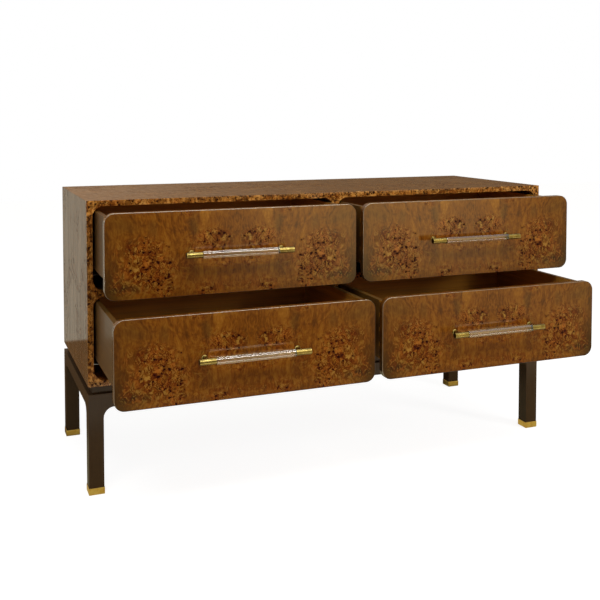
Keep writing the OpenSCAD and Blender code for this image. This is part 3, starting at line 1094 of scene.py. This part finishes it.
@dataclass(frozen=True)
class Palette:
    """Every material of the chest, built once."""

    front: Material
    edge: Material
    frame: Material
    top: Material
    side: Material
    back: Material
    inner: Material
    box_left: Material
    box_left_dark: Material
    box_right: Material
    box_wide: Material
    bottom: Material
    stain: Material
    handle_brass: Material
    foot_brass: Material
    clear: Material
    steel: Material

    @classmethod
    def mixed(cls) -> "Palette":
        """Builds the materials.

        Returns:
            The palette.
        """
        inner: dict[str, Any] = {
            "grain": Run.DEEP, "dark": tone(44, 25, 9), "light": tone(84, 52, 22), "coat": 0.3}
        # Painted light: the box wood is made paler so that the drawers' insides look lit, and the outer faces
        # and rims get painted shade instead
        box: dict[str, Any] = {"dark": tone(134, 86, 24), "light": tone(204, 142, 52), "coat": 0.25}
        deep = {"grain": Run.DEEP, **box}
        wide = {"grain": Run.ACROSS, **box}
        return cls(
            front=BurlVeneer("burl_fronts", leaf=Leaf.BOOK_MATCHED, coat_roughness=0.12).make(),
            # Pale edge wood and a strong gloss for the painted highlight
            edge=LitAndShadedEdge("front_edges", grain=Run.ACROSS, dark=tone(90, 62, 32), light=tone(128, 96, 56),
                          coat=1.0, coat_index=1.95, coat_roughness=0.15).make(),
            frame=BurlVeneer("burl_frame", leaf=Leaf.DENSE, eye_scale=115.0, eye_girth=0.2,
                             middle=tone(156, 98, 32), light=tone(196, 132, 58), flare=tone(200, 134, 60),
                             straw=tone(206, 152, 80), ember=tone(58, 24, 4)).make(),
            top=BurlVeneer("burl_top", leaf=Leaf.SCATTERED, coat=0.9, mottle=0.9, eye_girth=0.2,
                           dark=tone(40, 20, 4), light=tone(150, 96, 34), gold=tone(196, 140, 66),
                           flare=tone(206, 146, 70), straw=tone(210, 160, 84)).make(),
            side=BurlVeneer("burl_sides", leaf=Leaf.SCATTERED, coat=0.85, mottle=1.0,
                            mottle_scale=(18.0, 45.0, 2.5)).make(),
            back=PlainVeneer("back_veneer", grain=Run.ACROSS).make(),
            inner=PlainVeneer("inner_veneer_deep", **inner).make(),
            box_left=PlainVeneer("box_wood_left", outward=-1.0, **deep).make(),
            # A deeper painted shade for the upper boxes' left sides
            box_left_dark=PlainVeneer("box_wood_left_deep_shade", outward=-1.0, side_and_rim_shade=tone(26, 18, 8), **deep).make(),
            box_right=PlainVeneer("box_wood_right", outward=1.0, **deep).make(),
            box_wide=PlainVeneer("box_wood_wide", outward=0.0, **wide).make(),
            bottom=PlainVeneer("box_bottom", **wide).make(),
            stain=DarkStain("dark_stain").make(),
            handle_brass=Brass("handle_brass", left_cap_shade=tone(26, 20, 8)).make(),
            foot_brass=Brass("foot_brass", colour=tone(255, 224, 130), tarnish=tone(236, 190, 88),
                             axis=Run.UP, roughness=0.34).make(),
            clear=ClearRod("clear_rod").make(),
            steel=Steel("steel").make(),
        )


@dataclass
class Carcass:
    """The veneered case: a mitred shell, the face frame with four openings, and what is inside.

    Faces of the shell whose normal rises above top_face take the top's veneer.
    """

    joiner: Joiner
    palette: Palette
    ease: float = 1.2 * MM
    joint_slack: float = 0.01 * MM
    top_face: float = 0.8
    shell_nodes: tuple[str, ...] = ("case_top", "case_bottom", "left_side", "right_side")

    def build(self) -> None:
        """Builds the shell and the frame and dresses the parts inside."""
        joint_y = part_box("case_top")[0].y

        def at_frame_joint(edge: bmesh.types.BMEdge) -> bool:
            """Whether an edge lies in the joint between shell and frame."""
            return all(abs(v.co.y - joint_y) < self.joint_slack for v in edge.verts)

        shell = self.joiner.eased("case_shell", self.shell_nodes, self.ease, keep=at_frame_joint)
        hung(shell, self.palette.side, "case")
        shell.data.materials.append(self.palette.top)
        for face in shell.data.polygons:
            face.material_index = int(face.normal.z > self.top_face)

        frame = self.joiner.eased("case_frame", ("face_frame",), self.ease, keep=at_frame_joint)
        hung(frame, self.palette.frame, "case")

        for node, material in (
            ("back_panel", self.palette.back),
            ("centre_partition", self.palette.inner),
            ("left_divider", self.palette.inner),
            ("right_divider", self.palette.inner),
            ("left_tracks", self.palette.steel),
            ("right_tracks", self.palette.steel),
            ("back_screws", self.palette.steel),
        ):
            dress(self.joiner.nodes[node], material)
            LOG.info("%s dressed", node)


@dataclass
class Stand:
    """The dark leg frame with its recessed spacer, brass feet and bolts."""

    joiner: Joiner
    palette: Palette
    leg_ease: float = 1.8 * MM
    spacer_ease: float = 1.0 * MM
    foot_ease: float = 0.6 * MM
    corners: tuple[str, ...] = ("front_left", "front_right", "back_left", "back_right")
    sides: tuple[str, ...] = ("front", "back", "left", "right")

    def build(self) -> None:
        """Builds the legs and rails as one frame, then the spacer and the feet."""
        nodes = [f"{corner}_leg" for corner in self.corners] + [f"{side}_rail" for side in self.sides]
        legs = self.joiner.eased("leg_frame", nodes, self.leg_ease)
        hung(legs, self.palette.stain, "case")
        spacer = self.joiner.eased("spacer", ("spacer_frame",), self.spacer_ease)
        hung(spacer, self.palette.stain, "case")
        feet = self.joiner.eased("feet", ("brass_feet",), self.foot_ease)
        hung(feet, self.palette.foot_brass, "case")
        dress(self.joiner.nodes["stand_bolts"], self.palette.steel)
        LOG.info("stand_bolts dressed")


@dataclass
class Handle:
    """A clear rod held between two turned brass ends on posts."""

    drawer: str
    palette: Palette
    rod_length: float = 216 * MM
    rod_radius: float = 10 * MM
    sleeve_radius: float = 8 * MM
    sleeve_length: float = 44 * MM
    post_pitch: float = 256 * MM
    post_radius: float = 5.5 * MM
    collar_radius: float = 8.2 * MM
    collar_height: float = 3.2 * MM
    screw_radius: float = 2 * MM
    head_radius: float = 4 * MM
    head_height: float = 2.4 * MM
    sleeve_ease: float = 0.9 * MM
    bore_ease: float = 0.3 * MM
    rod_ease: float = 0.8 * MM

    def build(self, body: str) -> None:
        """Builds the brass ends and the rod.

        Args:
            body: The drawer's body.
        """
        rod_low, rod_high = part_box(f"{self.drawer}_handle_rod")
        centre = (rod_low + rod_high) / 2
        face_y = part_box(f"{self.drawer}_front")[0].y
        screw_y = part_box(f"{self.drawer}_handle_ends")[1].y
        ends = finished_piece(f"{self.drawer}_brass_ends", merged(
            mesh for hand in (-1, 1) for mesh in self.end_meshes(centre, hand, face_y, screw_y)), centre)
        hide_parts(f"{self.drawer}_handle_ends")
        hung(ends, self.palette.handle_brass, body)
        rod = finished_piece(f"{self.drawer}_clear_rod", self.rod_mesh(centre), centre)
        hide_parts(f"{self.drawer}_handle_rod")
        hung(rod, self.palette.clear, body)

    def end_meshes(self, centre: Vector, hand: int, face_y: float, screw_y: float) -> list[Mesh]:
        """The sleeve, post, collar and screw of one end.

        Args:
            centre: Middle of the rod.
            hand: -1 for the left end and 1 for the right one.
            face_y: Where the drawer front's face is.
            screw_y: How far back the screw's head reaches.

        Returns:
            The meshes.
        """
        near = self.rod_length / 2
        far = near + self.sleeve_length
        ease = self.sleeve_ease
        sleeve = [(near, 0.0), (near, self.sleeve_radius - self.bore_ease),
                  (near + self.bore_ease, self.sleeve_radius)]
        sleeve += [(far - ease + ease * math.sin(t), self.sleeve_radius - ease + ease * math.cos(t))
                   for t in (math.radians(a) for a in (0, 22.5, 45, 67.5, 90))] + [(far, 0.0)]
        start = Vector((centre.x + hand * self.post_pitch / 2, face_y, centre.z))
        out = Vector((0, -1, 0))
        reach = face_y - centre.y
        collar = [(0.0, 0.0), (0.0, self.collar_radius), (self.collar_height * 0.45, self.collar_radius),
                  (self.collar_height * 0.8, self.collar_radius * 0.94),
                  (self.collar_height, self.collar_radius * 0.8), (self.collar_height, self.post_radius),
                  (reach, self.post_radius), (reach, 0.0)]
        back = face_y - screw_y
        under = back + self.head_height
        screw = [(back, 0.0), (back, self.head_radius * 0.8),
                 (back + self.head_height * 0.4, self.head_radius), (under, self.head_radius),
                 (under, self.screw_radius), (0.0, self.screw_radius), (0.0, 0.0)]
        return [turned(sleeve, centre, Vector((hand, 0, 0))), turned(collar, start, out, 48),
                turned(screw, start, out, 32)]

    def rod_mesh(self, centre: Vector) -> Mesh:
        """The clear rod, with its ends against the sleeves.

        Args:
            centre: Middle of the rod.

        Returns:
            The mesh.
        """
        half, radius, ease = self.rod_length / 2, self.rod_radius, self.rod_ease
        right = [(half - ease, radius), (half - 0.25 * ease, radius - 0.3 * ease), (half, radius - ease),
                 (half, 0.0)]
        left = [(-along, out) for along, out in reversed(right)]
        return turned(left + right, centre, Vector((1, 0, 0)), 96)


@dataclass
class Drawer:
    """One drawer: a veneered front, a dovetailed box, its handle and its runners.

    The leaf number is the front's slice of the veneer stack. Faces of the front whose normal's depth lies
    between the two edge_faces are its eased edge, with its painted highlight and shade.
    """

    name: str
    leaf_number: int
    joiner: Joiner
    palette: Palette
    front_ease: float = 1.6 * MM
    edge_faces: tuple[float, float] = (-0.97, -0.08)

    def build(self) -> None:
        """Builds the front and the handle and dresses the box."""
        body = f"{self.name}_drawer"
        low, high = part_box(f"{self.name}_front")
        middle = Vector(((low.x + high.x) / 2, low.y, (low.z + high.z) / 2))
        front = self.joiner.eased(f"{self.name}_veneered_front", (f"{self.name}_front",),
                                  self.front_ease, middle)
        leaf = front.data.attributes.new("leaf", "FLOAT", "POINT")
        leaf.data.foreach_set("value", [float(self.leaf_number)] * len(front.data.vertices))
        hung(front, self.palette.front, body)
        front.data.materials.append(self.palette.edge)
        for face in front.data.polygons:
            face.material_index = int(self.edge_faces[0] < face.normal.y < self.edge_faces[1])
        # Painted shade: the upper boxes' left sides get a deeper painted shade on the outer face and rims
        upper = self.name.startswith("upper")
        for part, material in (
            ("box_front", self.palette.box_wide),
            ("box_left", self.palette.box_left_dark if upper else self.palette.box_left),
            ("box_right", self.palette.box_right),
            ("box_back", self.palette.box_wide),
            ("box_bottom", self.palette.bottom),
            ("runners", self.palette.steel),
        ):
            dress(self.joiner.nodes[f"{self.name}_{part}"], material)
            LOG.info("%s_%s dressed", self.name, part)
        Handle(self.name, self.palette).build(body)


@dataclass
class Camera:
    """The photograph's camera, found from the case's corners, in metres and radians.

    It looks down a little, so that the other views need less shift.
    """

    place: Place = (-1.10516, -2.57585, 1.05785)
    turn: float = 0.37932
    tilt: float = 0.04435
    pixels_per_radian: float = 888.05
    shift: float = -0.24
    image_side: float = 600.0
    sensor: float = 36.0

    def build(self) -> None:
        """Adds the camera and makes it the scene's."""
        data = bpy.data.cameras.new("photo_camera")
        data.sensor_width = self.sensor
        data.lens = self.sensor * self.pixels_per_radian / self.image_side
        data.shift_y = self.shift
        data.clip_end = 100.0
        camera = bpy.data.objects.new("photo_camera", data)
        camera.location = self.place
        camera.rotation_euler = (math.pi / 2 - self.tilt, 0.0, -self.turn)
        bpy.context.scene.collection.objects.link(camera)
        bpy.context.scene.camera = camera
        LOG.info("camera: lens %.2f mm, shift %.3f", data.lens, data.shift_y)


@dataclass(frozen=True)
class Softbox:
    """One rectangular lamp that faces a point of the chest; matt and gloss say which surfaces see it."""

    name: str
    place: Place
    width: float
    height: float
    radiance: float
    colour: Colour = (1.0, 1.0, 1.0)
    aim: Place = (0.0, -0.2, 0.5)
    matt: bool = True
    gloss: bool = True

    def build(self) -> None:
        """Adds the lamp."""
        data = bpy.data.lights.new(self.name, "AREA")
        data.shape = "RECTANGLE"
        data.size, data.size_y = self.width, self.height
        data.energy = self.radiance * math.pi * self.width * self.height
        data.color = self.colour
        lamp = bpy.data.objects.new(self.name, data)
        lamp.location = self.place
        lamp.rotation_mode = "QUATERNION"
        lamp.rotation_quaternion = (Vector(self.aim) - Vector(self.place)).to_track_quat("-Z", "Y")
        lamp.visible_diffuse = self.matt
        lamp.visible_glossy = self.gloss
        lamp.visible_transmission = self.gloss
        bpy.context.scene.collection.objects.link(lamp)


@dataclass
class Studio:
    """A pale floor, soft lamps and a white surround.

    The camera sees white. The lacquer, the brass and the clear rods mirror and show a darker, warmer room.
    """

    white: Colour = (1.0, 1.0, 1.0)
    floor_paint: Colour = (0.95, 0.95, 0.95)
    ambient: Colour = (0.35, 0.335, 0.31)
    flag: Colour = (0.08, 0.08, 0.075)
    paper: Colour = (0.46, 0.40, 0.30)
    paper_edge: float = 1.68
    apron: Colour = (0.41, 0.35, 0.20)
    card: Colour = (2.2, 2.0, 1.6)
    amber: Colour = (1.60, 1.28, 0.66)
    below: Colour = (0.004, 0.004, 0.004)
    side_glow: Colour = (0.18, 0.10, 0.042)
    wall_left: Colour = (0.52, 0.35, 0.22)
    wall_right: Colour = (0.19, 0.12, 0.065)
    wall_front: Colour = (0.0, 0.0, 0.0)
    ceiling: Colour = (0.8, 0.8, 0.78)
    window: Colour = (0.7, 0.68, 0.6)
    rod_low: Colour = (0.012, 0.01, 0.008)
    rod_high: Colour = (1.1, 1.02, 0.84)
    lamps: tuple[Softbox, ...] = (
        Softbox("overhead", (-0.3, -1.7, 2.5), 3.4, 0.5, 9.7, colour=(1.0, 0.985, 0.92)),
        Softbox("strip_high", (0.2, 0.1, 2.5), 2.6, 0.25, 7.0, colour=(1.0, 0.95, 0.84), matt=False),
        Softbox("key_right", (2.9, -3.4, 1.9), 1.0, 1.0, 17.0, gloss=False),
        Softbox("strip_left", (-3.4, -0.9, 1.06), 0.4, 2.0, 14.0, colour=(1.0, 0.95, 0.84), matt=False),
    )

    def build(self) -> None:
        """Adds the floor, the lamps and the world."""
        scene = bpy.context.scene
        scene.view_settings.view_transform = "Standard"
        for lamp in self.lamps:
            lamp.build()
            LOG.info("lamp %s", lamp.name)
        self.build_floor()
        self.build_world(scene)

    def build_floor(self) -> None:
        """Adds the floor: white, with the chest's soft shadow."""
        data = bpy.data.meshes.new("floor")
        side, front, back = 9.0, -3.0, 9.0
        data.from_pydata([(-side, front, 0), (side, front, 0), (side, back, 0), (-side, back, 0)],
                         [], [(0, 1, 2, 3)])
        floor = bpy.data.objects.new("floor", data)
        bpy.context.scene.collection.objects.link(floor)
        material = bpy.data.materials.new("floor")
        material.use_nodes = True
        bench = Bench(material.node_tree)
        across, along, _ = bench.add("ShaderNodeNewGeometry", {}, {})["Position"].parts()
        # What gloss mirrors of it: warm beside the chest, and strips of paper and card across
        shown = bench.layers(self.below, (
            (across.rise(-0.76, -0.80) * along.rise(-0.3, 0.1), self.side_glow),
            (along.rise(self.paper_edge - 0.03, self.paper_edge + 0.03), self.paper),
            (along.rise(-1.5, -1.1) * along.rise(0.5, 0.25), self.apron),
            (along.rise(-1.15, -1.05) * along.rise(-0.65, -0.75), self.card),
            (along.rise(-1.2, -2.4) * across.rise(0.3, 2.0) * 0.36, self.amber),
        ))
        mirrored = bench.add("ShaderNodeEmission", {}, {"Color": shown})
        path = bench.add("ShaderNodeLightPath", {}, {})
        matt = bench.add("ShaderNodeBsdfDiffuse", {}, {"Color": self.floor_paint})
        white = bench.add("ShaderNodeEmission", {}, {"Color": self.white, "Strength": 1.5})
        through = path["Is Transmission Ray"] * along.rise(-0.6, 0.0)
        seen = path["Is Camera Ray"].at_least(through) * 0.6
        plain = bench.add("ShaderNodeMixShader", {}, {0: seen, 1: matt[0], 2: white[0]})
        mirror = path["Is Glossy Ray"].at_least(path["Is Transmission Ray"] - through)
        shader = bench.add("ShaderNodeMixShader", {}, {0: mirror, 1: plain[0], 2: mirrored[0]})
        bench.add("ShaderNodeOutputMaterial", {}, {"Surface": shader[0]})
        dress(floor, material)
        LOG.info("floor")

    def build_world(self, scene: bpy.types.Scene) -> None:
        """Gives the scene its white surround.

        Args:
            scene: The scene.
        """
        world = bpy.data.worlds.new("surround")
        scene.world = world
        world.use_nodes = True
        bench = Bench(world.node_tree)
        path = bench.add("ShaderNodeLightPath", {}, {})
        x, y, z = bench.add("ShaderNodeTexCoord", {}, {})["Generated"].parts()
        fade = x.rise(0.60, 0.53) * 0.75 + 0.25
        amber = x.rise(0.22, 0.37) * fade * x.rise(0.85, 0.70) * y.rise(-0.4, -0.6) * z.rise(-0.25, -0.09)
        mirrored = bench.layers(self.wall_left, (
            (x.rise(-0.1, 0.45), self.wall_right),
            (z.rise(0.0, -0.01), self.paper),
            (y.rise(0.35, 0.1), self.wall_front),
            (z.rise(0.3, 0.75), self.ceiling),
            (x.rise(-0.6, -0.9), self.window),
            (amber, self.amber),
        ))
        through = bench.layers(self.rod_low, (
            (z.rise(0.15, 0.5), self.rod_high),
            (y.rise(-0.05, 0.05), self.white),
        ))
        colour = bench.layers(self.ambient, (
            (x.rise(0.0, -0.5), self.flag),
            (path["Is Glossy Ray"], mirrored),
            (path["Is Transmission Ray"], through),
            (path["Is Camera Ray"], self.white),
        ))
        light = bench.add("ShaderNodeBackground", {}, {"Color": colour, "Strength": 1.0})
        bench.add("ShaderNodeOutputWorld", {}, {"Surface": light[0]})
        LOG.info("surround")


def main() -> None:
    """Builds the chest and its studio."""
    logging.basicConfig(level=logging.INFO, format="%(message)s")
    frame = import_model()
    joiner = Joiner(frame["nodes"])
    palette = Palette.mixed()
    Carcass(joiner, palette).build()
    Stand(joiner, palette).build()
    for number, name in enumerate(("upper_left", "upper_right", "lower_left", "lower_right")):
        Drawer(name, number, joiner, palette).build()
    Camera().build()
    Studio().build()
    bpy.context.view_layer.update()


if __name__ == "__main__":
    main()
